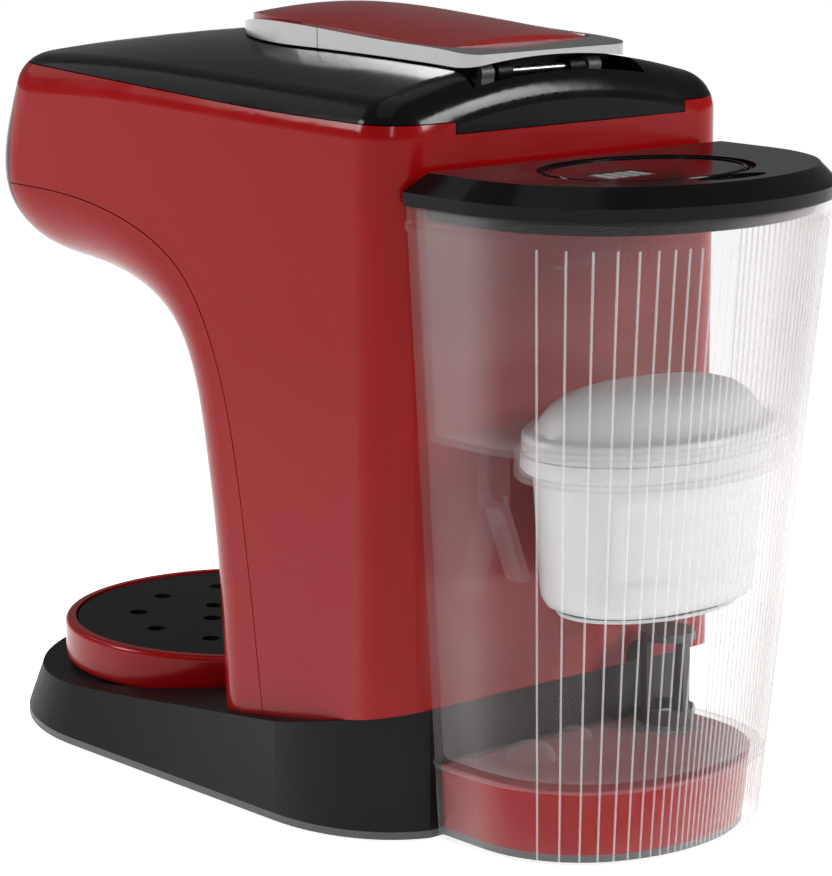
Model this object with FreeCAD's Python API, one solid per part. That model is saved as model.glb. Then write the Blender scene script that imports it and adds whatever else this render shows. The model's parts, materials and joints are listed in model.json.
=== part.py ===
"""Pod coffee machine with a lift-off water tank and a filter cartridge.

Frame: millimetres, +Z up, the front (cup side) towards -Y, the tank at +Y, origin on the
standing surface under the middle of the machine's bounding box.
"""
import FreeCAD, Part
import math
import os

os.makedirs("parts", exist_ok=True)
V = FreeCAD.Vector

# ---------------------------------------------------------------- driving dimensions
WALL = 2.5              # moulded wall of the housing
GAP = 0.3               # air between pieces that move past each other
SEAM = 0.4              # visible seam between housing mouldings

BODY_HALF = 84.0        # half width of the red housing
BODY_REAR = 88.6        # rear plane of the housing
FRONT_ROUND = 24.0      # rounding where the sides turn into the front and the underside
REAR_ROUND = 17.0       # vertical rear corners of the housing
TOP_ROUND = 15.0        # edge of the top cover

BASE_RADIUS = 91.5      # round front of the plinth, also its half width
BASE_CENTRE = -94.5     # y of that circle's centre
BASE_STRAIGHT = 33.5    # y where the plinth's sides start to turn in
BASE_REAR = 85.5        # rear edge of the plinth
BASE_LEAN = 21.0        # how far the front wall would lean in over BASE_TALL
BASE_TALL = 60.0
PLATE_LOW = 1.2         # underside of the base plate
PLATE_TOP = 4.0         # seam between base plate and plinth
FOOT_R = 9.0

TRAY_CENTRE = -98.5     # y of the drip tray's axis
TRAY_R = 74.0
TRAY_LOW = 23.1
TRAY_RIM = 39.4
GRID_R = 69.5
GRID_TOP = 38.8
GRID_LOW = 36.6
TRAY_SEAT = 22.8        # height of the plinth's top under the tray

LID_HALF = 41.0         # half width of the brew lid
LID_TAPER = 1.0         # how much narrower each side is at the rear
LID_FRONT = -78.0
LID_REAR = 80.0
LID_CORNER = 8.0        # rear corners in plan
GRIP_REAR = -2.0        # seam between the lid's front grip and its trim
LID_WIDEST = -14.0      # y where the lid's sides start to curve to the front
INSERT_INSET = 3.0      # trim width beside the lid's red insert
INSERT_REAR = 64.0
HINGE_Y = 72.0
HINGE_Z = 272.0
PIN_R = 1.5
PIN_FIT = 0.05

TANK_FRONT = 89.1
TANK_LOW = 2.0          # lower edge of the tank's skirt
TANK_RIM = 231.0
TANK_AT_LOW = (61.0, 160.0, 50.0, 76.0)     # half width, rear y, corner and bow radius
TANK_AT_RIM = (76.0, 183.9, 62.0, 100.0)
TANK_WALL = 2.2
TANK_FLOOR = 30.5
HOPPER_FLOOR = 148.0
HOPPER_INSET = 2.7
HOPPER_WALL = 1.6
FLOOR_DOMES = [(34.0, 108.0, 9.0, 6.0), (4.0, 99.0, 6.5, 4.0)]
LID_SHOULDER = 236.0
LID_TOP = 242.6
FLAP_X = 5.0            # fill flap's centre and half axes
FLAP_Y = 134.0
FLAP_A = 40.0
FLAP_B = 29.0
FLAP_PIN_Y = 107.4      # hinge axis of the flap
FLAP_PIN_Z = 240.8
FLAP_PIN_R = 0.75
THUMB_Y = 170.0         # thumb recess behind the flap

FILTER_Y = 132.0
FILTER_A = 52.0         # half length of the cartridge flange, along X
FILTER_B = 37.0         # half width, along Y
FILTER_LOW = 88.0
FILTER_FLANGE = 138.5
FILTER_SHOULDER = 152.0
FILTER_TOP = 166.5

OUTLET_X = -38.0        # tank outlet and its coupling
OUTLET_Y = 104.0
BREW_Y = -32.0          # axis of the brewing chamber
SPOUT_Y = -98.0         # axis of the drink outlet
BUTTON_Z = 232.0
FACE_Y = -157.6         # front face of the panel behind the keys
TOUCH_X = (-40.0, -24.0, 24.0, 40.0)
GLAND_X = 40.0          # supply cable bushing
FEET = [(-58.0, -120.0), (58.0, -120.0), (-38.0, 124.0), (38.0, 124.0)]
SCREWS = [(-70.0, -40.0), (70.0, -40.0), (-50.0, 70.0), (50.0, 70.0)]
PUMP_X = -30.0
PUMP_Y = 26.0
HEATER_X = 28.0
HEATER_Y = 24.0

# side view of the housing, y and z: column front, arch, underside, nose, front face
FRONT_LINE = [(-18.0, 8.0), (-23.0, 75.0), (-31.5, 132.0), (-45.5, 168.0), (-71.5, 182.6),
              (-105.0, 188.8), (-137.0, 194.0), (-154.0, 207.0), (-158.5, 222.0),
              (-154.0, 246.0), (-143.0, 300.0)]
# seam between the side mouldings and the arch strip
ARCH_SEAM = [(22.0, 8.0), (13.2, 64.0), (5.1, 115.0), (-8.8, 165.0), (-29.5, 195.0),
             (-60.0, 209.6), (-104.5, 216.8), (-175.0, 217.5)]
# rear limit of the black front panel
PANEL_SEAM = [(-130.0, 300.0), (-137.0, 256.0), (-140.5, 226.0), (-138.0, 208.0),
              (-129.0, 196.5), (-119.0, 170.0)]
# lower edge of the black top cover
COVER_SEAM = [(-200.0, 266.0), (-113.5, 263.7), (-52.5, 261.4), (18.5, 258.6), (63.5, 258.0),
              (120.0, 257.6)]
# top of the plinth
BASE_LINE = [(-200.0, 22.8), (-100.0, 22.8), (-60.5, 26.6), (-10.5, 32.8), (38.5, 39.6),
             (61.5, 44.0), (100.0, 52.5)]
# top surface sections: y, height beside the edge, height on the centre line
TOP_SECTIONS = [(-200, 261.4, 263.2), (-150, 266.2, 269.0), (-120, 268.2, 273.4),
                (-90, 269.2, 276.6), (-40, 268.8, 279.2), (20, 267.2, 279.4),
                (70, 266.4, 277.6), (130, 265.8, 274.4)]
INSERT_SECTIONS = [(-110, 270.5, 272.5), (-78, 279.6, 281.8), (-50, 284.6, 288.6),
                   (-25, 285.4, 290.0), (0, 284.4, 288.8), (40, 282.0, 285.6),
                   (80, 279.4, 281.5)]
TRIM_ARC = [(-110.0, 272.0), (-78.0, 279.4), (-45.0, 284.4), (0.0, 284.0), (40.0, 281.8),
            (64.0, 281.0), (80.0, 279.4), (96.0, 275.0)]


# ---------------------------------------------------------------- helpers
def box(x0, x1, y0, y1, z0, z1):
    return Part.makeBox(x1 - x0, y1 - y0, z1 - z0, V(x0, y0, z0))


def rod(radius, start, end):
    a = V(*start)
    b = V(*end)
    return Part.makeCylinder(radius, (b - a).Length, a, b - a)


def tube(outer, inner, start, end):
    return rod(outer, start, end).cut(rod(inner, start, end))


def fuse(shapes):
    result = shapes[0]
    for shape in shapes[1:]:
        result = result.fuse(shape)
    return result.removeSplitter()


def smooth(points):
    curve = Part.BSplineCurve()
    curve.interpolate([V(*p) for p in points])
    return curve.toShape()


def side_region(line, closing):
    """Prism across the whole width: a smooth side-view line closed by straight runs."""
    points = [(0, y, z) for y, z in line]
    edges = [smooth(points)]
    corners = [points[-1]] + [(0, y, z) for y, z in closing] + [points[0]]
    for a, b in zip(corners, corners[1:]):
        edges.append(Part.LineSegment(V(*a), V(*b)).toShape())
    face = Part.Face(Part.Wire(edges))
    face.translate(V(-150, 0, 0))
    return face.extrude(V(300, 0, 0))


def crowned_block(sections, low, lift=0.0, half=75.0):
    """Solid under a crowned surface; each section is y, z at x = half and z at x = 0."""
    grid = []
    for y, edge, centre in sections:
        drop = (centre - edge) / half ** 2
        grid.append([V(x, y, centre - drop * x * x + lift) for x in (-100, -60, -20, 20, 60, 100)])
    surface = Part.BSplineSurface()
    surface.interpolate(grid)
    face = surface.toShape()
    deep = face.BoundBox.ZMax - low
    return face.extrude(V(0, 0, -deep))


def insert_block(lift=0.0):
    """Solid under the crown of the lid's red insert."""
    return crowned_block(INSERT_SECTIONS, 200.0, lift, 38.0)


def drawn_in(line, inset):
    """The same smooth line moved sideways by inset, into the housing."""
    if not inset:
        return line
    curve = smooth([(0, y, z) for y, z in line]).Curve
    result = []
    for y, z in line:
        along = curve.tangent(curve.parameter(V(0, y, z)))[0]
        result.append((y + along.z * inset, z - along.y * inset))
    return result


def save(name, shape):
    solids = shape.Solids
    if len(solids) > 1:
        solids = sorted(solids, key=lambda s: -s.Volume)
        small = sum(s.Volume for s in solids[1:])
        print("note", name, "dropped", len(solids) - 1, "slivers of", round(small, 2), "mm3")
    solid = solids[0]
    if not solid.isValid():
        print("warning", name, "is not valid")
    solid.exportStep("parts/" + name + ".step")
    b = solid.BoundBox
    print("%-18s %9.0f mm3  x %.1f %.1f  y %.1f %.1f  z %.1f %.1f" % (
        name, solid.Volume, b.XMin, b.XMax, b.YMin, b.YMax, b.ZMin, b.ZMax))
    return solid


# ---------------------------------------------------------------- outlines
def base_outline(z, lean=0.0):
    """Plinth outline: round front, straight sides, corners drawn in to the tank."""
    r = BASE_RADIUS - lean
    front = Part.Arc(V(-r, BASE_CENTRE, z), V(0, BASE_CENTRE - r, z), V(r, BASE_CENTRE, z))
    corner = [(BASE_RADIUS, BASE_STRAIGHT, z), (88.6, 54.0, z), (80.5, 71.0, z),
              (62.0, BASE_REAR, z)]
    right = smooth(corner)
    left = smooth([(-x, y, z) for x, y, z in reversed(corner)])
    return Part.Wire([
        front.toShape(),
        Part.LineSegment(V(r, BASE_CENTRE, z), V(*corner[0])).toShape(),
        right,
        Part.LineSegment(V(*corner[-1]), V(-corner[-1][0], BASE_REAR, z)).toShape(),
        left,
        Part.LineSegment(V(-corner[0][0], BASE_STRAIGHT, z), V(-r, BASE_CENTRE, z)).toShape()])


def base_block(inset, low, high):
    """Solid plinth between two heights, drawn in by inset."""
    solid = Part.makeLoft([base_outline(PLATE_TOP), base_outline(PLATE_TOP + BASE_TALL, BASE_LEAN)],
                          True, True)
    if inset:
        scale_x = (BASE_RADIUS - inset) / BASE_RADIUS
        length = BASE_REAR - BASE_CENTRE + BASE_RADIUS
        scale_y = (length - 2 * inset) / length
        middle = (BASE_REAR + BASE_CENTRE - BASE_RADIUS) / 2
        matrix = FreeCAD.Matrix()
        matrix.move(V(0, -middle, 0))
        matrix.scale(scale_x, scale_y, 1)
        matrix.move(V(0, middle, 0))
        solid = solid.transformGeometry(matrix)
    return solid.common(box(-200, 200, -300, 300, low, high))


def tank_outline(z, inset=0.0, front_inset=None):
    """Tank outline at height z: flat front, straight sides, bowed rear."""
    if front_inset is None:
        front_inset = inset
    share = (z - TANK_LOW) / (TANK_RIM - TANK_LOW)
    half, apex, corner, bow = [low + (rim - low) * share - inset
                               for low, rim in zip(TANK_AT_LOW, TANK_AT_RIM)]
    front = TANK_FRONT + front_inset
    bow_y = apex - bow
    corner_x = half - corner
    corner_y = bow_y + math.sqrt((bow - corner) ** 2 - corner_x ** 2)
    reach = (bow - corner)
    touch = V(corner_x / reach * bow, bow_y + (corner_y - bow_y) / reach * bow, z)
    turn = math.atan2(corner_y - bow_y, corner_x) / 2
    mid = V(corner_x + corner * math.cos(turn), corner_y + corner * math.sin(turn), z)

    def flip(p):
        return V(-p.x, p.y, p.z)

    side = V(half, corner_y, z)
    start = V(half, front, z)
    return Part.Wire([
        Part.LineSegment(flip(start), start).toShape(),
        Part.LineSegment(start, side).toShape(),
        Part.Arc(side, mid, touch).toShape(),
        Part.Arc(touch, V(0, apex, z), flip(touch)).toShape(),
        Part.Arc(flip(touch), flip(mid), flip(side)).toShape(),
        Part.LineSegment(flip(side), flip(start)).toShape()])


def tank_block(low, high, inset=0.0, front_inset=None):
    return Part.makeLoft([tank_outline(low, inset, front_inset),
                          tank_outline(high, inset, front_inset)], True, True)


def lid_outline(z, inset=0.0, rear=LID_REAR, corner=LID_CORNER):
    """Brew lid outline: elliptical front, slightly tapered sides, rounded rear corners."""
    half = LID_HALF - inset
    front = LID_FRONT + inset
    rear_half = half - LID_TAPER
    ellipse = Part.Ellipse(V(0, front, z), V(half, LID_WIDEST, z), V(0, LID_WIDEST, z))
    arc = Part.ArcOfEllipse(ellipse, -math.pi / 2, math.pi / 2).toShape()
    right = V(half, LID_WIDEST, z)
    left = V(-half, LID_WIDEST, z)
    edges = [
        arc,
        Part.LineSegment(right, V(rear_half, rear - corner, z)).toShape(),
        Part.Arc(V(rear_half, rear - corner, z),
                 V(rear_half - corner * 0.29, rear - corner * 0.29, z),
                 V(rear_half - corner, rear, z)).toShape(),
        Part.LineSegment(V(rear_half - corner, rear, z), V(corner - rear_half, rear, z)).toShape(),
        Part.Arc(V(corner - rear_half, rear, z),
                 V(corner * 0.29 - rear_half, rear - corner * 0.29, z),
                 V(-rear_half, rear - corner, z)).toShape(),
        Part.LineSegment(V(-rear_half, rear - corner, z), left).toShape()]
    return Part.Wire(Part.__sortEdges__(edges))


def lid_block(low, high, inset=0.0, rear=LID_REAR, corner=LID_CORNER):
    return Part.Face(lid_outline(low, inset, rear, corner)).extrude(V(0, 0, high - low))


def oval_block(cx, cy, a, b, low, high):
    """Upright elliptical prism with its long axis along X (a >= b)."""
    ellipse = Part.Ellipse(V(cx, cy, low), a, b).toShape()
    return Part.Face(Part.Wire([ellipse])).extrude(V(0, 0, high - low))


def oval_loft(cx, cy, sections):
    """Smooth-sided oval solid through sections of (z, a, b)."""
    wires = [Part.Wire([Part.Ellipse(V(cx, cy, z), a, b).toShape()]) for z, a, b in sections]
    return Part.makeLoft(wires, True, True)


# ---------------------------------------------------------------- housing
def housing_block(inset):
    """Column and head as one solid, drawn in by inset on every side."""
    half = BODY_HALF - inset
    rear_y = BODY_REAR - inset
    points = [(0, y, z) for y, z in drawn_in(FRONT_LINE, inset)]
    corners = [points[-1], (0, rear_y, 300.0), (0, rear_y, 8.0), points[0]]
    edges = [smooth(points)]
    for a, b in zip(corners, corners[1:]):
        edges.append(Part.LineSegment(V(*a), V(*b)).toShape())
    face = Part.Face(Part.Wire(edges))
    face.translate(V(-half, 0, 0))
    solid = face.extrude(V(2 * half, 0, 0))

    def side_edges(test):
        return [e for e in solid.Edges if e.BoundBox.XLength < 0.01
                and abs(abs(e.BoundBox.Center.x) - half) < 0.01 and test(e.BoundBox)]

    rear = side_edges(lambda b: b.YLength < 0.01 and b.Center.y > 50)
    solid = solid.makeFillet(REAR_ROUND - inset, rear)
    front = side_edges(lambda b: b.YLength > 60 and b.ZLength > 100)
    solid = solid.makeFillet(FRONT_ROUND - inset, front)
    solid = solid.common(crowned_block(TOP_SECTIONS, 0.0, -inset))
    loop = [e for e in solid.Edges if e.BoundBox.ZMin > 250 - inset]
    return solid.makeFillet(TOP_ROUND - inset, loop)


# ---------------------------------------------------------------- regions of the housing
above_base = side_region(BASE_LINE, [(100.0, 400.0), (-200.0, 400.0)])
front_strip = side_region(ARCH_SEAM, [(-260.0, 217.5), (-260.0, 8.0)])
panel_zone = side_region(PANEL_SEAM, [(-260.0, 170.0), (-260.0, 300.0)])
cover_zone = side_region(COVER_SEAM, [(120.0, 400.0), (-200.0, 400.0)])
lip_cut = box(-59, 53, BODY_REAR - 8, 120, 253.6, 262)


def moved(shape, dx, dy, dz):
    copy = shape.copy()
    copy.translate(V(dx, dy, dz))
    return copy


outer = housing_block(0.0)
inner = housing_block(WALL)
crust = outer.cut(inner).common(moved(above_base, 0, 0, 0.05))
spout_hole = rod(13.0, (0, SPOUT_Y, 150), (0, SPOUT_Y, 240))
scan_hole = box(-9, 9, -125, -113, 180, 206)


def housing_pieces():
    cover_low = moved(cover_zone, 0, 0, SEAM)
    lip_fill = box(-58.6, 52.6, BODY_REAR - 8, 120, 254.0, 262)
    cover = crust.common(cover_low.fuse(lip_fill))
    cover = cover.cut(panel_zone)
    cover = cover.cut(lid_block(240, 320, 4.5, LID_REAR - 5, 6))
    cover = cover.cut(box(-LID_HALF - 0.8, LID_HALF + 0.8, HINGE_Y - 6, LID_REAR + 4.8, 255, 320))
    panel = crust.common(moved(panel_zone, 0, -SEAM, 0))
    below = crust.cut(cover_zone).cut(lip_cut).cut(panel_zone)
    arch = below.common(moved(front_strip, 0, -SEAM / 2, -SEAM / 2))
    arch = arch.cut(spout_hole).cut(scan_hole)
    shell = below.cut(moved(front_strip, 0, SEAM / 2, SEAM / 2))
    shell = shell.cut(rod(6.0, (OUTLET_X, 60, 52), (OUTLET_X, 120, 52)))
    button_hole = rod(9.4, (0, -200, BUTTON_Z), (0, -130, BUTTON_Z))
    panel = panel.cut(button_hole)
    for x in TOUCH_X:
        panel = panel.cut(rod(4.2, (x, -200, BUTTON_Z), (x, -130, BUTTON_Z)))
    return cover, panel, arch, shell


top_cover, front_panel, arch_cover, outer_shell = housing_pieces()
save("top_cover", top_cover)
save("front_panel", front_panel)
save("arch_cover", arch_cover)
save("outer_shell", outer_shell)

# start button and touch keys stand in holes of the front panel
save("start_button", rod(8.6, (0, FACE_Y - 0.6, BUTTON_Z), (0, FACE_Y + 7, BUTTON_Z)).cut(
    rod(6.5, (0, FACE_Y + 1.5, BUTTON_Z), (0, FACE_Y + 8, BUTTON_Z))))
save("status_ring", tube(9.3, 8.9, (0, FACE_Y + 0.6, BUTTON_Z), (0, FACE_Y + 2.6, BUTTON_Z)))
for index, x in enumerate(TOUCH_X):
    save("touch_key_%d" % (index + 1),
         rod(4.1, (x, FACE_Y + 1.0, BUTTON_Z), (x, FACE_Y + 3.4, BUTTON_Z)))

# ---------------------------------------------------------------- plinth
base_solid = base_block(0.0, PLATE_TOP, 60)
base_outer = base_solid.cut(above_base)
base_inner = base_block(3.0, PLATE_TOP - 1, 60).cut(moved(above_base, 0, 0, -3.0))
tray_seat = rod(TRAY_R + 2.0, (0, TRAY_CENTRE, TRAY_SEAT), (0, TRAY_CENTRE, 60))
base_shell = base_outer.cut(base_inner).cut(tray_seat)
base_shell = base_shell.cut(rod(6.0, (OUTLET_X, 40, 12), (OUTLET_X, 120, 12)))
base_shell = base_shell.cut(rod(6.0, (OUTLET_X, 52, 8), (OUTLET_X, 52, 70)))
base_shell = base_shell.cut(rod(5.0, (GLAND_X, 60, 16), (GLAND_X, 120, 16)))
save("base_shell", base_shell)

plate = Part.Face(base_outline(PLATE_LOW)).extrude(V(0, 0, PLATE_TOP - PLATE_LOW))
tail = tank_block(PLATE_LOW, PLATE_TOP, 5.2, -12.0)
base_plate = plate.fuse(tail).removeSplitter()
for x, y in FEET:
    base_plate = base_plate.cut(rod(FOOT_R + 0.1, (x, y, 0), (x, y, PLATE_LOW + 1.0)))
for x, y in SCREWS:
    base_plate = base_plate.cut(rod(3.6, (x, y, 0), (x, y, PLATE_LOW + 1.2)))
save("base_plate", base_plate)
for index, (x, y) in enumerate(FEET):
    save("foot_%d" % (index + 1), rod(FOOT_R, (x, y, 0), (x, y, PLATE_LOW + 1.0)))
for index, (x, y) in enumerate(SCREWS):
    head = rod(3.4, (x, y, PLATE_LOW + 0.2), (x, y, PLATE_LOW + 1.2))
    cross = fuse([box(x - 2, x + 2, y - 0.4, y + 0.4, 0, PLATE_LOW + 0.8),
                  box(x - 0.4, x + 0.4, y - 2, y + 2, 0, PLATE_LOW + 0.8)])
    save("base_screw_%d" % (index + 1), head.cut(cross))

pedestal = tank_block(PLATE_TOP, TANK_FLOOR - 2.6, 5.2, -2.6)
pedestal = pedestal.cut(tank_block(PLATE_TOP - 1, TANK_FLOOR - 5.2, 7.8, 0.0))
pedestal = pedestal.cut(rod(12.4, (OUTLET_X, OUTLET_Y, 10), (OUTLET_X, OUTLET_Y, 40)))
pedestal = pedestal.cut(rod(6.0, (OUTLET_X, 60, 12), (OUTLET_X, 90, 12)))
pedestal = pedestal.cut(rod(5.6, (GLAND_X, 60, 16), (GLAND_X, 94, 16)))
save("tank_pedestal", pedestal)

# coupling that opens the tank's valve
cup_top = TANK_FLOOR - 2.6
coupling = rod(12.0, (OUTLET_X, OUTLET_Y, 6), (OUTLET_X, OUTLET_Y, cup_top))
coupling = coupling.cut(rod(9.2, (OUTLET_X, OUTLET_Y, 16), (OUTLET_X, OUTLET_Y, 40)))
coupling = coupling.cut(rod(2.2, (OUTLET_X, OUTLET_Y, 9), (OUTLET_X, OUTLET_Y, 17)))
coupling = coupling.cut(rod(4.0, (OUTLET_X, OUTLET_Y - 14, 12), (OUTLET_X, OUTLET_Y - 9, 12)))
coupling = coupling.cut(rod(2.0, (OUTLET_X, OUTLET_Y - 14, 12), (OUTLET_X, OUTLET_Y, 12)))
pin_stem = fuse([rod(1.2, (OUTLET_X + 4.5, OUTLET_Y, 15), (OUTLET_X + 4.5, OUTLET_Y, 17.5)),
                 box(OUTLET_X - 1, OUTLET_X + 1, OUTLET_Y + 3, OUTLET_Y + 5, 15, 17.5)])
coupling = coupling.fuse(pin_stem).removeSplitter()
save("tank_coupling", coupling)
save("coupling_seal", tube(9.1, 7.6, (OUTLET_X, OUTLET_Y, 16.1), (OUTLET_X, OUTLET_Y, 19.0)))

# supply cable inlet: only the bushing in the plinth's rear wall
gland = tube(4.9, 3.4, (GLAND_X, BASE_REAR - 5, 16), (GLAND_X, BASE_REAR + 4, 16))
gland = gland.fuse(tube(7.0, 3.4, (GLAND_X, BASE_REAR - 5, 16), (GLAND_X, BASE_REAR - 3.6, 16)))
save("cord_gland", gland.removeSplitter())

# ---------------------------------------------------------------- inside the housing
chassis = box(-60, 60, 62, 66, 56, 236)
for x in (-46.0, 46.0):
    chassis = chassis.fuse(box(x - 2, x + 2, 48, 62, 70, 232))
chassis = chassis.fuse(box(-60, 60, 30, 66, 236, 239)).removeSplitter()
save("chassis", chassis)
save("control_board", fuse([box(-48, 48, 70, 71.6, 96, 214),
                            box(-30, -8, 71.6, 80, 120, 150),
                            rod(7, (20, 71.6, 140), (20, 82, 140)),
                            rod(7, (20, 71.6, 170), (20, 82, 170))]))
save("pump", fuse([rod(17, (PUMP_X, PUMP_Y, 96), (PUMP_X, PUMP_Y, 152)),
                   rod(6, (PUMP_X, PUMP_Y, 90), (PUMP_X, PUMP_Y, 160)),
                   box(PUMP_X - 19, PUMP_X + 19, PUMP_Y - 15, PUMP_Y + 15, 108, 140)]))
save("pump_mount", tube(13, 6.3, (PUMP_X, PUMP_Y, 90.5), (PUMP_X, PUMP_Y, 94.5)))
save("flow_heater", fuse([rod(20, (HEATER_X, HEATER_Y, 92), (HEATER_X, HEATER_Y, 176)),
                          rod(5, (HEATER_X, HEATER_Y, 84), (HEATER_X, HEATER_Y, 184))]))
save("flow_meter", fuse([rod(14, (PUMP_X, PUMP_Y, 62), (PUMP_X, PUMP_Y, 78)),
                         rod(4, (PUMP_X, PUMP_Y, 54), (PUMP_X, PUMP_Y, 84))]))


def bent_tube(radius, corners, bend):
    """Solid round tube along straight runs joined by arcs of one radius."""
    edges = []
    last = V(*corners[0])
    for before, corner, after in zip(corners, corners[1:], corners[2:]):
        p = V(*corner)
        into = (p - V(*before)).normalize()
        out = (V(*after) - p).normalize()
        turn = into.getAngle(out)
        reach = bend * math.tan(turn / 2)
        start = p - into * reach
        end = p + out * reach
        bisector = (out - into).normalize()
        centre = p + bisector * (bend / math.cos(turn / 2))
        mid = centre - bisector * bend
        edges.append(Part.LineSegment(last, start).toShape())
        edges.append(Part.Arc(start, mid, end).toShape())
        last = end
    edges.append(Part.LineSegment(last, V(*corners[-1])).toShape())
    path = Part.Wire(edges)
    along = (V(*corners[1]) - V(*corners[0])).normalize()
    ring = Part.Wire([Part.makeCircle(radius, V(*corners[0]), along)])
    return path.makePipeShell([ring], True, False)


save("hose_tank", bent_tube(3.4, [(OUTLET_X, OUTLET_Y - 12.4, 12), (OUTLET_X, 52, 12),
                                  (OUTLET_X, 52, 47), (PUMP_X, PUMP_Y, 47),
                                  (PUMP_X, PUMP_Y, 53.8)], 5.0))
save("hose_heater", bent_tube(3.4, [(PUMP_X, PUMP_Y, 160.4), (PUMP_X, PUMP_Y, 200),
                                    (PUMP_X, 52, 200), (0, 52, 200), (0, 52, 74),
                                    (HEATER_X, HEATER_Y, 74), (HEATER_X, HEATER_Y, 83.6)], 5.0))
save("hose_brew", bent_tube(3.4, [(HEATER_X, HEATER_Y, 184.4), (HEATER_X, HEATER_Y, 222),
                                  (HEATER_X, 5, 222), (10, -8, 222)], 6.0))

# ---------------------------------------------------------------- brewing unit
chamber = rod(35, (0, BREW_Y, 226), (0, BREW_Y, 262))
chamber = chamber.cut(rod(32, (0, BREW_Y, 232), (0, BREW_Y, 270)))
chute = box(-9, 9, SPOUT_Y - 9, BREW_Y - 20, 226, 246).cut(
    box(-6, 6, SPOUT_Y - 6, BREW_Y, 230, 250))
chamber = chamber.fuse(chute).removeSplitter()
chamber = chamber.cut(box(-6, 6, SPOUT_Y - 6, BREW_Y - 10, 232, 246.5))
chamber = chamber.cut(rod(5.2, (0, SPOUT_Y, 220), (0, SPOUT_Y, 240)))
save("brew_chamber", chamber)
save("disc_holder", tube(31.4, 27, (0, BREW_Y, 246), (0, BREW_Y, 258)))
save("piercing_unit", fuse([rod(9, (0, BREW_Y + 14, 232), (0, BREW_Y + 14, 238)),
                            Part.makeCone(3, 0.6, 7, V(0, BREW_Y + 14, 238))]))
nozzle = fuse([tube(8, 5.2, (0, SPOUT_Y, 176), (0, SPOUT_Y, 225.8)),
               tube(12.4, 7.9, (0, SPOUT_Y, 178), (0, SPOUT_Y, 184))])
save("spout_nozzle", nozzle)
save("barcode_window", box(-8.6, 8.6, -124.6, -113.4, 191.8, 193.4))
save("barcode_scanner", box(-8, 8, -126, -112, 200, 214))

# ---------------------------------------------------------------- brew lid
over_cover = crowned_block(TOP_SECTIONS, 0.0, 0.7)
under_arc = side_region(TRIM_ARC, [(90.0, 200.0), (-110.0, 200.0)])
trim = lid_block(240, 320).common(under_arc).cut(over_cover)
trim = trim.cut(lid_block(230, 330, INSERT_INSET, INSERT_REAR, LID_CORNER - 2))
for x in (-26.0, 26.0):
    trim = trim.cut(rod(4.0, (x - 3.6, HINGE_Y, HINGE_Z), (x + 3.6, HINGE_Y, HINGE_Z)))
    trim = trim.cut(box(x - 3.6, x + 3.6, HINGE_Y - 1.2, HINGE_Y + 3.6, 258, HINGE_Z))
grip_zone = box(-60, 60, -120, GRIP_REAR, 200, 330)
save("lid_trim", trim.cut(moved(grip_zone, 0, SEAM, 0)))
save("lid_grip", trim.common(grip_zone))

insert = lid_block(277.2, 320, INSERT_INSET + GAP, INSERT_REAR - GAP, LID_CORNER - 2.3)
insert = insert.common(insert_block())
save("lid_insert", insert.cut(insert_block(-2.2).cut(box(-90, 90, -200, 200, 0, 277.2))))

lid_base = lid_block(262.5, 277.0, 5.2, 70.0, 9)
lid_base = lid_base.cut(lid_block(265, 290, 8.0, 67.2, 6))
for x in (-17.5, 17.5):
    barrel = rod(3.4, (x - 3.5, HINGE_Y, HINGE_Z), (x + 3.5, HINGE_Y, HINGE_Z))
    lid_base = lid_base.fuse(barrel)
lid_base = lid_base.cut(lid_block(265, 290, 8.0, 67.2, 6))
lid_base = lid_base.cut(rod(PIN_R + PIN_FIT, (-40, HINGE_Y, HINGE_Z), (40, HINGE_Y, HINGE_Z)))
lid_base = lid_base.cut(box(-60, 60, INSERT_REAR - 2.4, 90, 273.8, 280).cut(
    box(-21, 21, INSERT_REAR - 3, 90, 270, 276)))
for x in (-26.0, 26.0):
    lid_base = lid_base.cut(box(x - 3.8, x + 3.8, HINGE_Y - 4.2, 90, 255, 290))
save("lid_base", lid_base)
save("lid_seal", tube(30.2, 27.6, (0, BREW_Y, 259.6), (0, BREW_Y, 262.4)))
save("lid_piston", tube(24.0, 20.0, (0, BREW_Y, 256.0), (0, BREW_Y, 262.4)))
save("lid_latch", fuse([box(-8, 8, -70.6, -68.2, 254, 262.4), box(-8, 8, -73.0, -70.6, 254, 257)]))

bracket = box(-30, 30, 74.5, 84, 258, 260.5)
for x in (-26.0, 26.0):
    bracket = bracket.fuse(rod(3.4, (x - 3, HINGE_Y, HINGE_Z), (x + 3, HINGE_Y, HINGE_Z)))
    bracket = bracket.fuse(box(x - 3, x + 3, HINGE_Y - 0.6, HINGE_Y + 3.0, 258, HINGE_Z))
bracket = bracket.cut(rod(PIN_R, (-40, HINGE_Y, HINGE_Z), (40, HINGE_Y, HINGE_Z)))
save("hinge_bracket", bracket)
save("lid_hinge_pin", rod(PIN_R, (-30, HINGE_Y, HINGE_Z), (30, HINGE_Y, HINGE_Z)))

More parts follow.
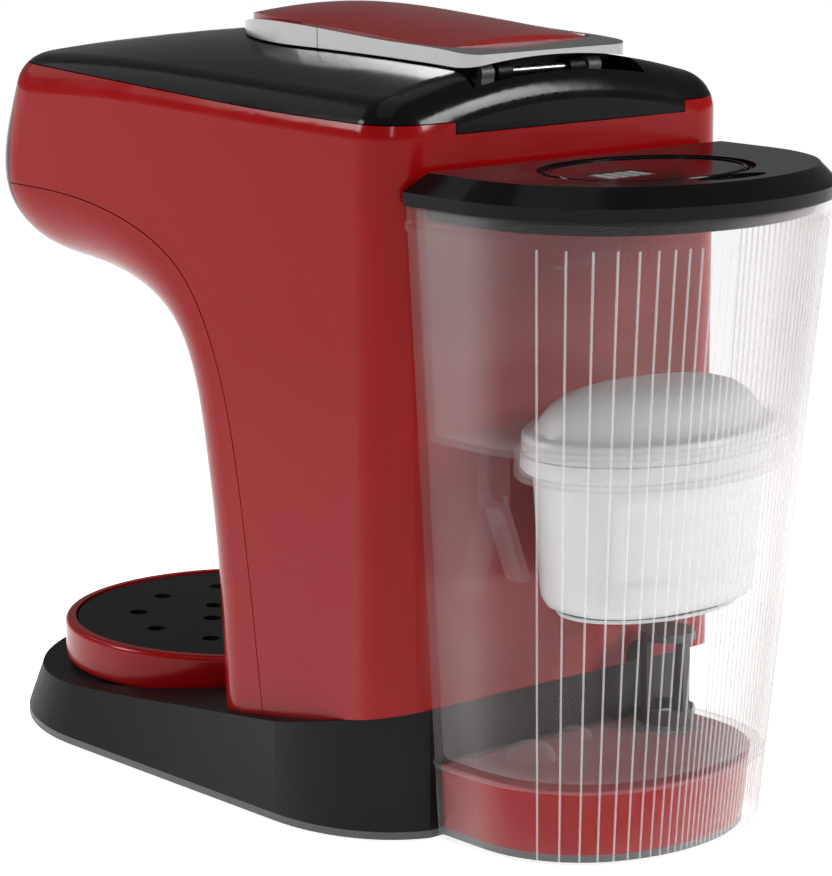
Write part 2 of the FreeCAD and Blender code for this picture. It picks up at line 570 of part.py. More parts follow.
# ---------------------------------------------------------------- water tank
tank = tank_block(TANK_LOW, TANK_RIM)
tank = tank.cut(tank_block(TANK_FLOOR, TANK_RIM + 3, TANK_WALL))
tank = tank.cut(tank_block(TANK_LOW - 2, TANK_FLOOR - TANK_WALL, TANK_WALL, -5.0))
nozzle = rod(7.2, (OUTLET_X, OUTLET_Y, 20), (OUTLET_X, OUTLET_Y, TANK_FLOOR))
tank = tank.fuse(nozzle)
for x, y, radius, height in FLOOR_DOMES:
    tank = tank.fuse(rod(radius, (x, y, TANK_FLOOR - 1), (x, y, TANK_FLOOR + height)))
tank = tank.cut(rod(5.0, (OUTLET_X, OUTLET_Y, 22), (OUTLET_X, OUTLET_Y, 60)))
tank = tank.cut(rod(3.0, (OUTLET_X, OUTLET_Y, 18), (OUTLET_X, OUTLET_Y, 30)))
save("tank_body", tank)

strainer = tube(10.5, 8.0, (OUTLET_X, OUTLET_Y, TANK_FLOOR), (OUTLET_X, OUTLET_Y, 36))
strainer = strainer.fuse(rod(10.5, (OUTLET_X, OUTLET_Y, 62), (OUTLET_X, OUTLET_Y, 65)))
for x, y in ((-8.5, -2.0), (8.5, -2.0), (0.0, 8.7)):
    post = box(OUTLET_X + x - 1.6, OUTLET_X + x + 1.6, OUTLET_Y + y - 1.6, OUTLET_Y + y + 1.6, 32, 64)
    strainer = strainer.fuse(post.common(rod(10.5, (OUTLET_X, OUTLET_Y, 30), (OUTLET_X, OUTLET_Y, 66))))
save("outlet_strainer", strainer)
poppet = fuse([rod(2.0, (OUTLET_X, OUTLET_Y, 18.0), (OUTLET_X, OUTLET_Y, 34)),
               rod(4.6, (OUTLET_X, OUTLET_Y, 22.1), (OUTLET_X, OUTLET_Y, 24.6))])
save("valve_poppet", poppet)

hopper = tank_block(HOPPER_FLOOR, TANK_RIM - 1.5, HOPPER_INSET)
hopper = hopper.cut(tank_block(HOPPER_FLOOR + 2.0, TANK_RIM + 2, HOPPER_INSET + HOPPER_WALL))
well = oval_block(0, FILTER_Y, FILTER_A + 2.2, FILTER_B + 2.2, 136.4, HOPPER_FLOOR + 1)
hopper = hopper.fuse(well.common(tank_block(120, 200, HOPPER_INSET)))
hopper = hopper.cut(oval_block(0, FILTER_Y, FILTER_A + 0.6, FILTER_B + 0.6, FILTER_FLANGE - 0.3, 152))
hopper = hopper.cut(oval_block(0, FILTER_Y, FILTER_A - 3.0, FILTER_B - 3.0, 120, 152))
save("hopper", hopper)

guide = []
for foot_x in (57.0, 34.0):
    top_v = V(46, 101, 127)
    foot_v = V(foot_x, 101, 95)
    along = (foot_v - top_v).normalize()
    across = V(along.z, 0, -along.x)
    corners = [top_v + across * 1.6, foot_v + across * 1.6, foot_v - across * 1.6, top_v - across * 1.6]
    face = Part.Face(Part.makePolygon(corners + [corners[0]]))
    face.translate(V(0, -5, 0))
    guide.append(face.extrude(V(0, 10, 0)))
guide.append(box(41, 51, 98, 104, 124, HOPPER_FLOOR - 0.1))
save("flow_guide", fuse(guide).common(tank_block(31, 148, 3.0)))

# ---------------------------------------------------------------- filter cartridge
cartridge = oval_loft(0, FILTER_Y, [(FILTER_LOW, FILTER_A - 10.0, FILTER_B - 8.0),
                                    (FILTER_FLANGE, FILTER_A - 4.6, FILTER_B - 4.6)])
flange = oval_block(0, FILTER_Y, FILTER_A, FILTER_B, FILTER_FLANGE, FILTER_SHOULDER)
dome = oval_loft(0, FILTER_Y, [(FILTER_SHOULDER - 1, FILTER_A - 2.0, FILTER_B - 2.0),
                               (FILTER_SHOULDER + 6, FILTER_A - 6.0, FILTER_B - 6.0),
                               (FILTER_TOP - 3, FILTER_A - 13.0, FILTER_B - 14.0),
                               (FILTER_TOP, FILTER_A - 22.0, FILTER_B - 22.0)])
save("filter_cartridge", cartridge.fuse(flange).fuse(dome))
save("filter_mesh", oval_block(0, FILTER_Y, FILTER_A - 14.0, FILTER_B - 12.0,
                               FILTER_LOW - 1.2, FILTER_LOW))

# ---------------------------------------------------------------- tank lid and fill flap
lid = tank_block(TANK_RIM + GAP, LID_SHOULDER, -1.6, 0.2)
bevel = Part.makeLoft([tank_outline(LID_SHOULDER, -1.6, 0.2), tank_outline(LID_TOP, 5.5, 6.0)],
                      True, True)
plug = tank_block(TANK_RIM - 5, TANK_RIM + 1, 4.9)
lid = lid.fuse(bevel).fuse(plug)
hollow = tank_block(TANK_RIM - 8, LID_TOP - 3.4, 7.4).cut(box(-90, 90, 166, 250, TANK_RIM + 1.0, 260))
lid = lid.cut(hollow)
lid = lid.cut(oval_block(FLAP_X, FLAP_Y, FLAP_A + 3.0, FLAP_B + 3.0, LID_TOP - 1.2, LID_TOP + 5))
lid = lid.cut(oval_block(FLAP_X, FLAP_Y, FLAP_A + 0.7, FLAP_B + 0.7, 220, LID_TOP + 5))
lid = lid.cut(oval_block(0, THUMB_Y, 16.0, 5.0, LID_TOP - 6.0, LID_TOP + 3))
lid = lid.cut(box(FLAP_X - 17, FLAP_X + 17, FLAP_PIN_Y - 3, FLAP_PIN_Y + 1, 230, LID_TOP + 5))
lid = lid.fuse(rod(FLAP_PIN_R, (FLAP_X - 19, FLAP_PIN_Y, FLAP_PIN_Z),
                   (FLAP_X + 19, FLAP_PIN_Y, FLAP_PIN_Z)))
save("tank_lid", lid)
flap = oval_block(FLAP_X, FLAP_Y, FLAP_A, FLAP_B, LID_TOP - 3.4, LID_TOP - 0.6)
flap = flap.cut(rod(FLAP_PIN_R + PIN_FIT, (FLAP_X - 30, FLAP_PIN_Y, FLAP_PIN_Z),
                    (FLAP_X + 30, FLAP_PIN_Y, FLAP_PIN_Z)))
display_seat = box(FLAP_X + 4, FLAP_X + 28, FLAP_Y - 3, FLAP_Y + 11, LID_TOP - 1.8, LID_TOP)
save("fill_flap", flap.cut(display_seat))
save("memo_display", box(FLAP_X + 4.3, FLAP_X + 27.7, FLAP_Y - 2.7, FLAP_Y + 10.7,
                         LID_TOP - 1.8, LID_TOP - 0.8))

# ---------------------------------------------------------------- drip tray
tray = rod(TRAY_R, (0, TRAY_CENTRE, TRAY_LOW), (0, TRAY_CENTRE, TRAY_RIM))
tray = tray.makeFillet(2.0, [e for e in tray.Edges if e.BoundBox.ZLength < 0.01])
tray = tray.cut(rod(GRID_R + 0.4, (0, TRAY_CENTRE, GRID_LOW), (0, TRAY_CENTRE, 60)))
tray = tray.cut(rod(GRID_R - 2.4, (0, TRAY_CENTRE, TRAY_LOW + 1.8), (0, TRAY_CENTRE, 60)))
save("drip_tray", tray)
grid = rod(GRID_R, (0, TRAY_CENTRE, GRID_LOW + 0.05), (0, TRAY_CENTRE, GRID_TOP))
grid = grid.makeFillet(0.8, [e for e in grid.Edges
                             if e.BoundBox.ZLength < 0.01 and e.BoundBox.ZMin > GRID_TOP - 0.1])
for count, ring, start in ((10, 44.5, -3.5), (5, 17.5, -3.5)):
    for step in range(count):
        angle = math.radians(start + 360.0 * step / count)
        x = ring * math.cos(angle)
        y = TRAY_CENTRE + ring * math.sin(angle)
        grid = grid.cut(rod(3.7, (x, y, 30), (x, y, 50)))
save("drip_grid", grid)
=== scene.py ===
"""Looks of the pod coffee machine: materials, finer meshes, light and camera. Metres, +Z up."""
import json
import math

import bmesh
import bpy
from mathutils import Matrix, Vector


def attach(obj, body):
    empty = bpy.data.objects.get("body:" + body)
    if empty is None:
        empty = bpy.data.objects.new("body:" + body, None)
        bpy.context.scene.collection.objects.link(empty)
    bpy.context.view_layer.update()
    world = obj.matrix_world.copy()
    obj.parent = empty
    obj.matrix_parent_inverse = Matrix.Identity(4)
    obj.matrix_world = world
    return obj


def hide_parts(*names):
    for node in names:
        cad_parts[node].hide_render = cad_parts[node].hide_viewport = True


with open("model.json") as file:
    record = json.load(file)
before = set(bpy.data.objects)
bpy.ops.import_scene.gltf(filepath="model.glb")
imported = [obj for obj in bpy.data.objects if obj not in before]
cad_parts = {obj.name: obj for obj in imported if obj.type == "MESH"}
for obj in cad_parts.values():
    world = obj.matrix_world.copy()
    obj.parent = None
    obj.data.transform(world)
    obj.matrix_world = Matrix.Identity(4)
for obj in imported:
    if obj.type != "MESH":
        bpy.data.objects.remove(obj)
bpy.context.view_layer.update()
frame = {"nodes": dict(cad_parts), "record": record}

MM = 0.001
nodes = frame["nodes"]

# tank and filter sizes in millimetres, the same as the solids they stand for
TANK_FRONT = 89.1
TANK_LOW = 2.0
TANK_RIM = 231.0
TANK_AT_LOW = (61.0, 160.0, 50.0, 76.0)     # half width, rear y, corner and bow radius
TANK_AT_RIM = (76.0, 183.9, 62.0, 100.0)
TANK_WALL = 2.2
TANK_FLOOR = 30.5
BEAD_Z = 224.0
RIB_HEIGHT = 0.42
RIB_WIDTH = 0.9
RIB_ROOT = 0.03                              # gap between a rib and the wall
RIB_WALK = 274.6                             # length of the walk round the tank
RIB_FIRST = 57.5
RIB_LAST_MARGIN = 12
RIB_GAP = 9.9
RIB_GAP_SHRINK = 0.9
RIB_GAP_LEAST = 2.75
WALL_STEPS = 220
FLOOR_DOMES = [(34.0, 108.0, 9.0, 6.0), (4.0, 99.0, 6.5, 4.0)]
OUTLET = (-38.0, 104.0)

FILTER_Y = 132.0
FILTER_A = 52.0
FILTER_B = 37.0
FILTER_LOW = 88.0
FILTER_FLANGE = 138.5
FILTER_SHOULDER = 152.0
FILTER_POWER = 2.3                           # squareness of the body's oval

FLAP = (5.0, 134.0, 40.0, 29.0)              # centre x, y and half axes
LID_TOP = 242.6


# ---------------------------------------------------------------- camera and light
def add_camera():
    """Rear right, a little above the lid, with the long lens of a product shot."""
    data = bpy.data.cameras.new("camera")
    camera = bpy.data.objects.new("camera", data)
    bpy.context.scene.collection.objects.link(camera)
    azimuth, elevation = math.radians(139.0), math.radians(11.05)
    back = Vector((math.sin(azimuth) * math.cos(elevation),
                   -math.cos(azimuth) * math.cos(elevation),
                   math.sin(elevation)))
    target = Vector((0.0, 0.0135, 0.140))
    camera.location = target + back * 1.310
    camera.rotation_mode = "QUATERNION"
    camera.rotation_quaternion = (-back).to_track_quat("-Z", "Y")
    data.sensor_width = 36.0
    data.lens = 142.6
    data.shift_x = -0.0148
    data.shift_y = -0.0354
    data.clip_start = 0.01
    data.clip_end = 50.0
    bpy.context.scene.camera = camera


def area_light(name, place, look, width, height, power, beam):
    """Soft box aimed at a point; beam is its opening angle in degrees."""
    data = bpy.data.lights.new(name, "AREA")
    data.shape = "RECTANGLE"
    data.size = width
    data.size_y = height
    data.energy = power
    data.spread = math.radians(beam)
    light = bpy.data.objects.new(name, data)
    bpy.context.scene.collection.objects.link(light)
    light.location = place
    light.rotation_mode = "QUATERNION"
    light.rotation_quaternion = (Vector(look) - Vector(place)).to_track_quat("-Z", "Y")
    return light


def add_studio():
    world = bpy.data.worlds.new("studio")
    bpy.context.scene.world = world
    world.use_nodes = True
    back = world.node_tree.nodes["Background"]
    back.inputs["Color"].default_value = (1.0, 1.0, 1.0, 1.0)
    back.inputs["Strength"].default_value = 0.16
    area_light("side_box", (0.95, -0.85, 0.75), (0.08, -0.13, 0.20), 0.35, 0.5, 0.9, 60)
    area_light("rear_box", (-0.75, 1.05, 0.75), (-0.07, 0.12, 0.18), 0.35, 0.5, 1.6, 60)
    area_light("top_strip", (0.1, -0.2, 1.7), (0, 0, 0.2), 2.2, 0.9, 2.4, 150)
    area_light("front_fill", (0.6, -2.0, 1.5), (0, 0, 0.15), 1.2, 1.0, 1.0, 120)
    area_light("tank_strip", (1.25, 1.3, 0.9), (0.0, 0.14, 0.15), 0.12, 0.9, 0.5, 60)
    bpy.context.scene.view_settings.view_transform = "Standard"
    bpy.context.scene.cycles.transparent_max_bounces = 32


def add_floor():
    mesh = bpy.data.meshes.new("floor")
    size = 9.0
    mesh.from_pydata([(-size, -size, 0), (size, -size, 0), (size, size, 0), (-size, size, 0)], [],
                     [(0, 1, 2, 3)])
    floor = bpy.data.objects.new("floor", mesh)
    bpy.context.scene.collection.objects.link(floor)
    floor.location.z = -0.0002
    material = bpy.data.materials.new("floor")
    material.use_nodes = True
    shader = material.node_tree.nodes["Principled BSDF"]
    shader.inputs["Base Color"].default_value = (0.9, 0.9, 0.9, 1)
    shader.inputs["Roughness"].default_value = 0.45
    shader.inputs["Specular IOR Level"].default_value = 0.3
    shader.inputs["Emission Color"].default_value = (1, 1, 1, 1)
    shader.inputs["Emission Strength"].default_value = 0.86
    mesh.materials.append(material)


# ---------------------------------------------------------------- material building blocks
def new_material(name, **values):
    material = bpy.data.materials.new(name)
    material.use_nodes = True
    shader = material.node_tree.nodes["Principled BSDF"]
    for key, value in values.items():
        shader.inputs[key.replace("_", " ")].default_value = value
    return material, material.node_tree, shader


def noise(tree, scale, detail=2.0, rough=0.5):
    coords = tree.nodes.new("ShaderNodeTexCoord")
    texture = tree.nodes.new("ShaderNodeTexNoise")
    texture.inputs["Scale"].default_value = scale
    texture.inputs["Detail"].default_value = detail
    texture.inputs["Roughness"].default_value = rough
    tree.links.new(coords.outputs["Object"], texture.inputs["Vector"])
    return texture.outputs["Fac"]


def spread(tree, factor, low, high, start=0.35, end=0.65):
    """Maps the part of a factor between start and end to the range low to high."""
    ramp = tree.nodes.new("ShaderNodeMapRange")
    ramp.inputs["From Min"].default_value = start
    ramp.inputs["From Max"].default_value = end
    ramp.inputs["To Min"].default_value = low
    ramp.inputs["To Max"].default_value = high
    tree.links.new(factor, ramp.inputs["Value"])
    return ramp.outputs["Result"]


def two_colours(tree, factor, dark, light):
    mix = tree.nodes.new("ShaderNodeMix")
    mix.data_type = "RGBA"
    mix.inputs["A"].default_value = (*dark, 1)
    mix.inputs["B"].default_value = (*light, 1)
    tree.links.new(factor, mix.inputs["Factor"])
    return mix.outputs["Result"]


def bump(tree, shader, height, strength, distance):
    node = tree.nodes.new("ShaderNodeBump")
    node.inputs["Strength"].default_value = strength
    node.inputs["Distance"].default_value = distance
    tree.links.new(height, node.inputs["Height"])
    tree.links.new(node.outputs["Normal"], shader.inputs["Normal"])


def gloss_plastic(name, dark, light, roughness, specular=0.5):
    """Injection moulded gloss: faint colour drift, a soft orange peel and hazy patches."""
    material, tree, shader = new_material(name, IOR=1.5, Specular_IOR_Level=specular)
    tree.links.new(two_colours(tree, noise(tree, 9.0), dark, light), shader.inputs["Base Color"])
    tree.links.new(spread(tree, noise(tree, 60.0, 4.0), *roughness), shader.inputs["Roughness"])
    bump(tree, shader, noise(tree, 420.0), 0.02, 0.0004)
    return material


def textured_plastic(name, dark, light, roughness, grain=2600.0, depth=0.00006, specular=0.5):
    """Spark-eroded matte plastic: fine even grain."""
    material, tree, shader = new_material(name, IOR=1.48, Specular_IOR_Level=specular)
    tree.links.new(two_colours(tree, noise(tree, 30.0, 3.0), dark, light),
                   shader.inputs["Base Color"])
    tree.links.new(spread(tree, noise(tree, 900.0), *roughness), shader.inputs["Roughness"])
    bump(tree, shader, noise(tree, grain, 3.0, 0.6), 0.5, depth)
    return material


def metal(name, dark, light, roughness):
    material, tree, shader = new_material(name, Metallic=1.0)
    tree.links.new(two_colours(tree, noise(tree, 20.0), dark, light), shader.inputs["Base Color"])
    tree.links.new(spread(tree, noise(tree, 260.0, 4.0), *roughness), shader.inputs["Roughness"])
    bump(tree, shader, noise(tree, 1800.0), 0.04, 0.00003)
    return material


def clear_plastic(name, dark, light, thin, thick):
    """Clear polystyrene: nearly invisible face on, milky and bright where it is seen edge on."""
    material, tree, shader = new_material(name, IOR=1.5, Specular_IOR_Level=0.7)
    tree.links.new(two_colours(tree, noise(tree, 8.0), dark, light),
                   shader.inputs["Base Color"])
    tree.links.new(spread(tree, noise(tree, 90.0, 3.0), 0.04, 0.09), shader.inputs["Roughness"])
    edge = tree.nodes.new("ShaderNodeLayerWeight")
    edge.inputs["Blend"].default_value = 0.35
    cloud = spread(tree, noise(tree, 14.0, 3.0), 0.9, 1.1)
    alpha = spread(tree, edge.outputs["Facing"], thin, thick, 0.15, 0.95)
    product = tree.nodes.new("ShaderNodeMath")
    product.operation = "MULTIPLY"
    tree.links.new(alpha, product.inputs[0])
    tree.links.new(cloud, product.inputs[1])
    tree.links.new(product.outputs["Value"], shader.inputs["Alpha"])
    return material


materials = {
    "red_shell": gloss_plastic("red_shell", (0.26, 0.0018, 0.0025), (0.31, 0.0025, 0.0035),
                               (0.13, 0.19), 0.22),
    "gloss_black": gloss_plastic("gloss_black", (0.004, 0.004, 0.0045), (0.006, 0.006, 0.007),
                                 (0.12, 0.18), 0.14),
    "start_key": gloss_plastic("start_key", (0.012, 0.012, 0.013), (0.02, 0.02, 0.022), (0.1, 0.2)),
    "matte_black": textured_plastic("matte_black", (0.0035, 0.0035, 0.004), (0.005, 0.005, 0.0055),
                                    (0.42, 0.52), specular=0.2),
    "dark_grey": textured_plastic("dark_grey", (0.07, 0.07, 0.074), (0.095, 0.095, 0.1), (0.4, 0.55)),
    "rubber": textured_plastic("rubber", (0.018, 0.018, 0.018), (0.03, 0.03, 0.03), (0.6, 0.75),
                               1400.0, 0.0001),
    "white_filter": textured_plastic("white_filter", (0.66, 0.67, 0.68), (0.71, 0.72, 0.73),
                                     (0.3, 0.42), 1500.0, 0.00003),
    "frame_grey": textured_plastic("frame_grey", (0.26, 0.26, 0.27), (0.32, 0.32, 0.33), (0.4, 0.55)),
    "board_green": textured_plastic("board_green", (0.02, 0.15, 0.06), (0.03, 0.2, 0.08), (0.3, 0.4)),
    "pump_body": textured_plastic("pump_body", (0.45, 0.45, 0.43), (0.52, 0.52, 0.5), (0.4, 0.55)),
    "hose_silicone": textured_plastic("hose_silicone", (0.74, 0.74, 0.72), (0.82, 0.82, 0.8),
                                      (0.35, 0.5)),
    "key_print": textured_plastic("key_print", (0.62, 0.62, 0.62), (0.7, 0.7, 0.7), (0.4, 0.5)),
    "mesh_grey": textured_plastic("mesh_grey", (0.5, 0.52, 0.53), (0.6, 0.62, 0.63), (0.5, 0.6)),
    "smoked_window": gloss_plastic("smoked_window", (0.10, 0.13, 0.11), (0.13, 0.165, 0.14),
                                   (0.08, 0.16)),
    "silver_trim": metal("silver_trim", (0.50, 0.50, 0.50), (0.56, 0.56, 0.56), (0.17, 0.2)),
    "steel": metal("steel", (0.28, 0.28, 0.29), (0.36, 0.36, 0.37), (0.25, 0.35)),
    "heater_metal": metal("heater_metal", (0.6, 0.6, 0.6), (0.7, 0.7, 0.7), (0.35, 0.5)),
    "clear_plastic": clear_plastic("clear_plastic", (0.60, 0.55, 0.55), (0.70, 0.66, 0.66),
                                   0.012, 0.36),
}
# painted highlight: the ribs get a whiter, more opaque copy of the clear plastic, which paints in the
# light each rib refracts
rib_highlight_material = clear_plastic("clear_ribs_painted_highlight", (0.84, 0.83, 0.83), (0.9, 0.89, 0.89), 0.22, 0.5)


def dress_cad_nodes():
    for row in frame["record"]["subparts"]:
        mesh = nodes[row["node"]].data
        mesh.materials.clear()
        mesh.materials.append(materials[row["material_slot"]])


# ---------------------------------------------------------------- mesh helpers
def add_piece(name, verts, faces, slot, body, replaced=(), sharp=32.0, material=None):
    """Makes one object from millimetre points, parents it to its body, gives it the material of its
    slot unless another is given, and hides the CAD nodes it replaces.
    """
    mesh = bpy.data.meshes.new(name)
    mesh.from_pydata([(x * MM, y * MM, z * MM) for x, y, z in verts], [], faces)
    shape = bmesh.new()
    shape.from_mesh(mesh)
    bmesh.ops.recalc_face_normals(shape, faces=shape.faces)
    shape.to_mesh(mesh)
    shape.free()
    mesh.shade_smooth()
    mesh.set_sharp_from_angle(angle=math.radians(sharp))
    mesh.materials.append(material or materials[slot])
    piece = bpy.data.objects.new(name, mesh)
    bpy.context.scene.collection.objects.link(piece)
    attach(piece, body)
    if replaced:
        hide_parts(*replaced)
    return piece


def weld(piece):
    """Merges points of a piece that lie on each other."""
    shape = bmesh.new()
    shape.from_mesh(piece.data)
    bmesh.ops.remove_doubles(shape, verts=shape.verts, dist=1e-6)
    shape.to_mesh(piece.data)
    shape.free()


def loft(rings, closed=True, cap_start=True, cap_end=True):
    """Faces through rings of equal length; a cap is one polygon."""
    verts = [point for ring in rings for point in ring]
    count = len(rings[0])
    faces = []
    for level in range(len(rings) - 1):
        for i in range(count if closed else count - 1):
            j = (i + 1) % count
            a = level * count
            b = a + count
            faces.append((a + i, a + j, b + j, b + i))
    if cap_start:
        faces.append(tuple(range(count)))
    if cap_end:
        last = (len(rings) - 1) * count
        faces.append(tuple(range(last, last + count)))
    return verts, faces


def join(parts):
    """One vertex and face list from several."""
    verts, faces = [], []
    for more_verts, more_faces in parts:
        start = len(verts)
        verts += more_verts
        faces += [tuple(start + i for i in face) for face in more_faces]
    return verts, faces


def smoothstep(low, high, value):
    t = min(1.0, max(0.0, (value - low) / (high - low)))
    return t * t * (3 - 2 * t)


# ---------------------------------------------------------------- water tank
def tank_walk(z, inset, steps):
    """Points and outward normals round the tank from its right front corner to its left one.

    steps are fractions of the whole walk; front corners are included as given.
    """
    share = (z - TANK_LOW) / (TANK_RIM - TANK_LOW)
    half, apex, corner, bow = [low + (rim - low) * share - inset
                               for low, rim in zip(TANK_AT_LOW, TANK_AT_RIM)]
    front = TANK_FRONT + inset
    bow_y = apex - bow
    corner_x = half - corner
    corner_y = bow_y + math.sqrt((bow - corner) ** 2 - corner_x ** 2)
    turn = math.atan2(corner_y - bow_y, corner_x)
    side = corner_y - front
    curve = corner * turn
    arc = bow * (math.pi - 2 * turn)
    total = 2 * side + 2 * curve + arc
    walk = []
    for step in steps:
        along = step * total
        mirror = 1
        if along > total / 2:
            along = total - along
            mirror = -1
        if along < side:
            x, y, nx, ny = half, front + along, 1.0, 0.0
        elif along < side + curve:
            angle = (along - side) / corner
            nx, ny = math.cos(angle), math.sin(angle)
            x, y = corner_x + corner * nx, corner_y + corner * ny
        else:
            angle = turn + (along - side - curve) / bow
            nx, ny = math.cos(angle), math.sin(angle)
            x, y = bow * nx, bow_y + bow * ny
        walk.append((mirror * x, y, mirror * nx, ny))
    return walk


def rib_places():
    """Fractions of the walk where the fine ribs stand: wide apart at first, then close."""
    places = []
    at = RIB_FIRST
    gap = RIB_GAP
    while at < RIB_WALK - RIB_LAST_MARGIN:
        places.append(at / RIB_WALK)
        at += gap
        gap = max(RIB_GAP_LEAST, gap * RIB_GAP_SHRINK)
    return places


def tank_piece():
    """Clear vessel with its beads, open-fronted skirt, floor domes and outlet."""
    steps = [i / WALL_STEPS for i in range(WALL_STEPS + 1)]

    def ring(z, inset):
        return [(x, y, z) for x, y, nx, ny in tank_walk(z, inset, steps)]

    vessel = [ring(TANK_FLOOR - TANK_WALL, 0.0)]
    for rise, proud in ((-1.2, 0.0), (-0.4, 0.45), (0.6, 0.45), (1.4, 0.0)):
        vessel.append(ring(TANK_FLOOR + rise, -proud))
    vessel += [ring(80.0, 0.0), ring(150.0, 0.0), ring(BEAD_Z - 2.2, 0.0)]
    for rise, proud in ((-1.6, 0.4), (-0.5, 0.75), (0.5, 0.75), (1.6, 0.4), (2.2, 0.0)):
        vessel.append(ring(BEAD_Z + rise, -proud))
    vessel += [ring(TANK_RIM - 0.6, 0.0), ring(TANK_RIM, 0.5),
               ring(TANK_RIM, TANK_WALL - 0.5), ring(TANK_RIM - 0.6, TANK_WALL),
               ring(150.0, TANK_WALL), ring(TANK_FLOOR + 4.0, TANK_WALL),
               ring(TANK_FLOOR + 1.2, TANK_WALL + 1.0), ring(TANK_FLOOR, TANK_WALL + 3.6)]
    skirt_high = TANK_FLOOR - TANK_WALL - 0.05
    skirt = [ring(TANK_LOW + 0.5, 0.0), ring(skirt_high, 0.0), ring(skirt_high, TANK_WALL),
             ring(TANK_LOW + 0.5, TANK_WALL), ring(TANK_LOW, TANK_WALL - 0.5),
             ring(TANK_LOW, 0.5)]
    # the skirt is open at the front, so its section runs round as a closed strip
    skirt_verts, skirt_faces = loft(skirt + [skirt[0]], closed=False, cap_start=False,
                                    cap_end=False)
    count = len(steps)
    for end in (0, count - 1):
        skirt_faces.append(tuple(level * count + end for level in range(len(skirt))))
    parts = [loft(vessel), (skirt_verts, skirt_faces)]
    for x, y, radius, height in FLOOR_DOMES:
        parts.append(dome(x, y, TANK_FLOOR, radius, height))
    nozzle = [[(OUTLET[0] + r * math.cos(a), OUTLET[1] + r * math.sin(a), z)
               for a in angles(32)]
              for r, z in ((7.2, TANK_FLOOR - TANK_WALL), (7.2, 20.4), (6.8, 20.0), (3.0, 20.0),
                           (3.0, 22.0), (5.0, 22.2), (5.0, TANK_FLOOR - TANK_WALL))]
    parts.append(loft(nozzle, cap_start=False, cap_end=False))
    piece = add_piece("tank_shell", *join(parts), "clear_plastic", "tank", ["tank_body"], 40.0)
    weld(piece)


def rib_piece():
    """Fine upright ribs on the outside of the tank, one three-sided bar each."""
    reach = RIB_WIDTH / 2 / RIB_WALK
    levels = [TANK_LOW + 0.8, 20.0, TANK_FLOOR, 80.0, 140.0, 200.0, BEAD_Z - 2.4]
    bars = []
    for rib in rib_places():
        rings = []
        for z in levels:
            left, top, right = tank_walk(z, 0.0, [rib - reach, rib, rib + reach])
            rings.append([(left[0] + left[2] * RIB_ROOT, left[1] + left[3] * RIB_ROOT, z),
                          (top[0] + top[2] * RIB_HEIGHT, top[1] + top[3] * RIB_HEIGHT, z),
                          (right[0] + right[2] * RIB_ROOT, right[1] + right[3] * RIB_ROOT, z)])
        bars.append(loft(rings))
    add_piece("tank_ribs", *join(bars), "clear_plastic", "tank", material=rib_highlight_material)


def angles(count):
    return [2 * math.pi * i / count for i in range(count)]


def dome(x, y, z, radius, height):
    """Low moulded bump with a rounded top."""
    rings = []
    for share in (0.0, 0.25, 0.5, 0.75, 0.93, 0.99):
        r = radius * math.cos(share * math.pi / 2) ** 0.6
        rings.append([(x + r * math.cos(a), y + r * math.sin(a),
                       z + height * math.sin(share * math.pi / 2)) for a in angles(36)])
    return loft(rings)


# ---------------------------------------------------------------- filter cartridge
def oval(a, b, z, power=2.0, count=128, dent=None):
    ring = []
    for angle in angles(count):
        c, s = math.cos(angle), math.sin(angle)
        x = a * math.copysign(abs(c) ** (2 / power), c)
        y = b * math.copysign(abs(s) ** (2 / power), s)
        pull = 1.0 - (dent(angle, z) if dent else 0.0)
        ring.append((x * pull, FILTER_Y + y * pull, z))
    return ring


def panel_dent(angle, z):
    """A shallow rounded panel on each long side of the cartridge."""
    away = abs(math.sin(angle))
    band = smoothstep(0.62, 0.70, away)
    tall = smoothstep(101.0, 104.0, z) * (1 - smoothstep(128.0, 131.0, z))
    return 0.022 * band * tall


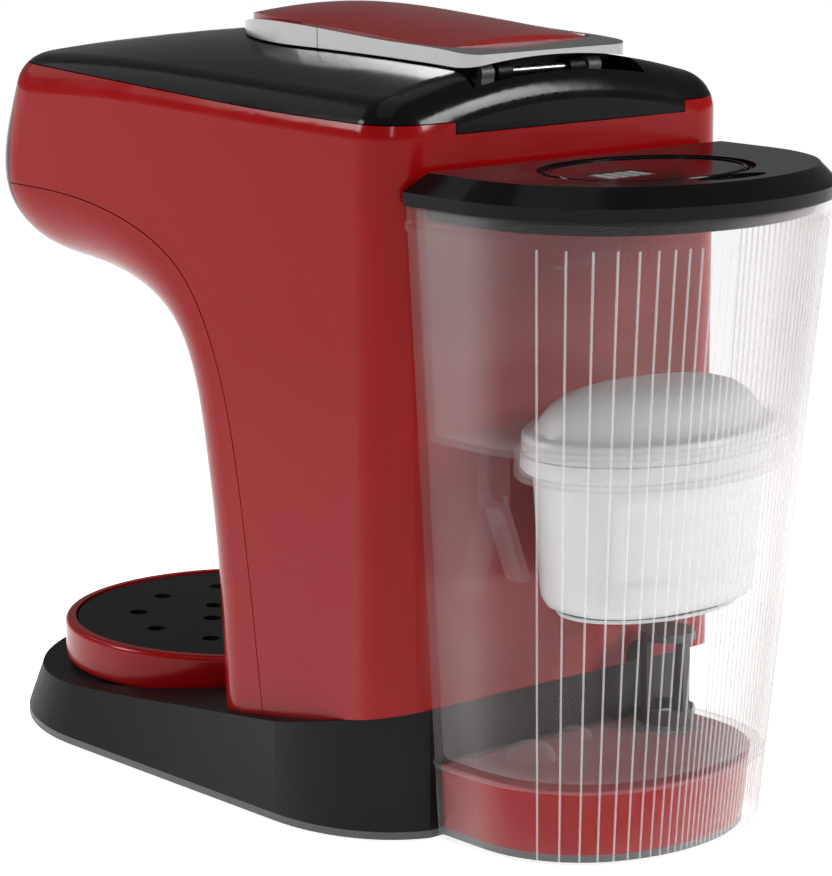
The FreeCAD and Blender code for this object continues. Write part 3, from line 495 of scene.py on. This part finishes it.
def filter_piece():
    a, b = FILTER_A - 6.0, FILTER_B - 6.0
    low_a, low_b = FILTER_A - 10.0, FILTER_B - 8.0
    rings = [oval(low_a - 6.0, low_b - 6.0, FILTER_LOW + 0.1, FILTER_POWER),
             oval(low_a - 1.6, low_b - 1.6, FILTER_LOW + 1.6, FILTER_POWER),
             oval(low_a, low_b, FILTER_LOW + 4.5, FILTER_POWER)]
    tall = FILTER_FLANGE - FILTER_LOW
    for share in [0.14 + 0.026 * i for i in range(32)]:
        z = FILTER_LOW + tall * share
        rings.append(oval(low_a + (a - low_a) * share, low_b + (b - low_b) * share, z,
                          FILTER_POWER, dent=panel_dent))
    rings += [oval(a, b, FILTER_FLANGE - 0.2, FILTER_POWER),
              oval(FILTER_A - 1.0, FILTER_B - 1.0, FILTER_FLANGE),
              oval(FILTER_A, FILTER_B, FILTER_FLANGE + 1.0),
              oval(FILTER_A, FILTER_B, FILTER_FLANGE + 6.0),
              oval(FILTER_A - 0.5, FILTER_B - 0.5, FILTER_FLANGE + 6.3),
              oval(FILTER_A - 0.5, FILTER_B - 0.5, FILTER_SHOULDER - 1.0),
              oval(FILTER_A - 1.4, FILTER_B - 1.4, FILTER_SHOULDER)]
    for shrink_a, shrink_b, rise in ((3.6, 4.4, 0.3), (4.4, 6.4, 1.6), (6.6, 9.2, 5.4),
                                     (9.6, 12.4, 8.8), (14.2, 16.6, 11.8), (21.0, 21.6, 13.6),
                                     (30.0, 26.5, 14.3), (40.0, 31.5, 14.5)):
        rings.append(oval(FILTER_A - shrink_a, FILTER_B - shrink_b, FILTER_SHOULDER + rise))
    add_piece("filter_body", *loft(rings), "white_filter", "filter", ["filter_cartridge"], 50.0)


# ---------------------------------------------------------------- tank lid details
def ellipse_band(name, cx, cy, a, b, profile, slot, body):
    """Closed ring of a small section round an oval; profile lists outward offset and height."""
    rings = []
    for offset, z in profile:
        rings.append([(cx + (a + offset) * math.cos(t), cy + (b + offset) * math.sin(t), z)
                      for t in angles(160)])
    verts, faces = loft(rings + [rings[0]], cap_start=False, cap_end=False)
    piece = add_piece(name, verts, faces, slot, body)
    weld(piece)


def lid_details():
    cx, cy, a, b = FLAP
    ellipse_band("flap_lip", cx, cy, a - 1.6, b - 1.6,
                 [(0.0, LID_TOP - 0.62), (0.1, LID_TOP - 0.25), (0.5, LID_TOP - 0.1),
                  (0.9, LID_TOP - 0.25), (1.0, LID_TOP - 0.62)], "gloss_black", "fill_flap")
    bars = []
    for index in range(4):
        x = cx + 6.6 + index * 5.2
        y = cy - 1.2
        z = LID_TOP - 0.79
        rings = [[(x + dx, y + dy, z + dz) for dx, dy in ((0, 0), (3.6, 0), (3.6, 10), (0, 10))]
                 for dz in (0.0, 0.12)]
        bars.append(loft(rings))
    add_piece("display_bars", *join(bars), "frame_grey", "fill_flap")


add_camera()
add_studio()
add_floor()
dress_cad_nodes()
tank_piece()
rib_piece()
filter_piece()
lid_details()
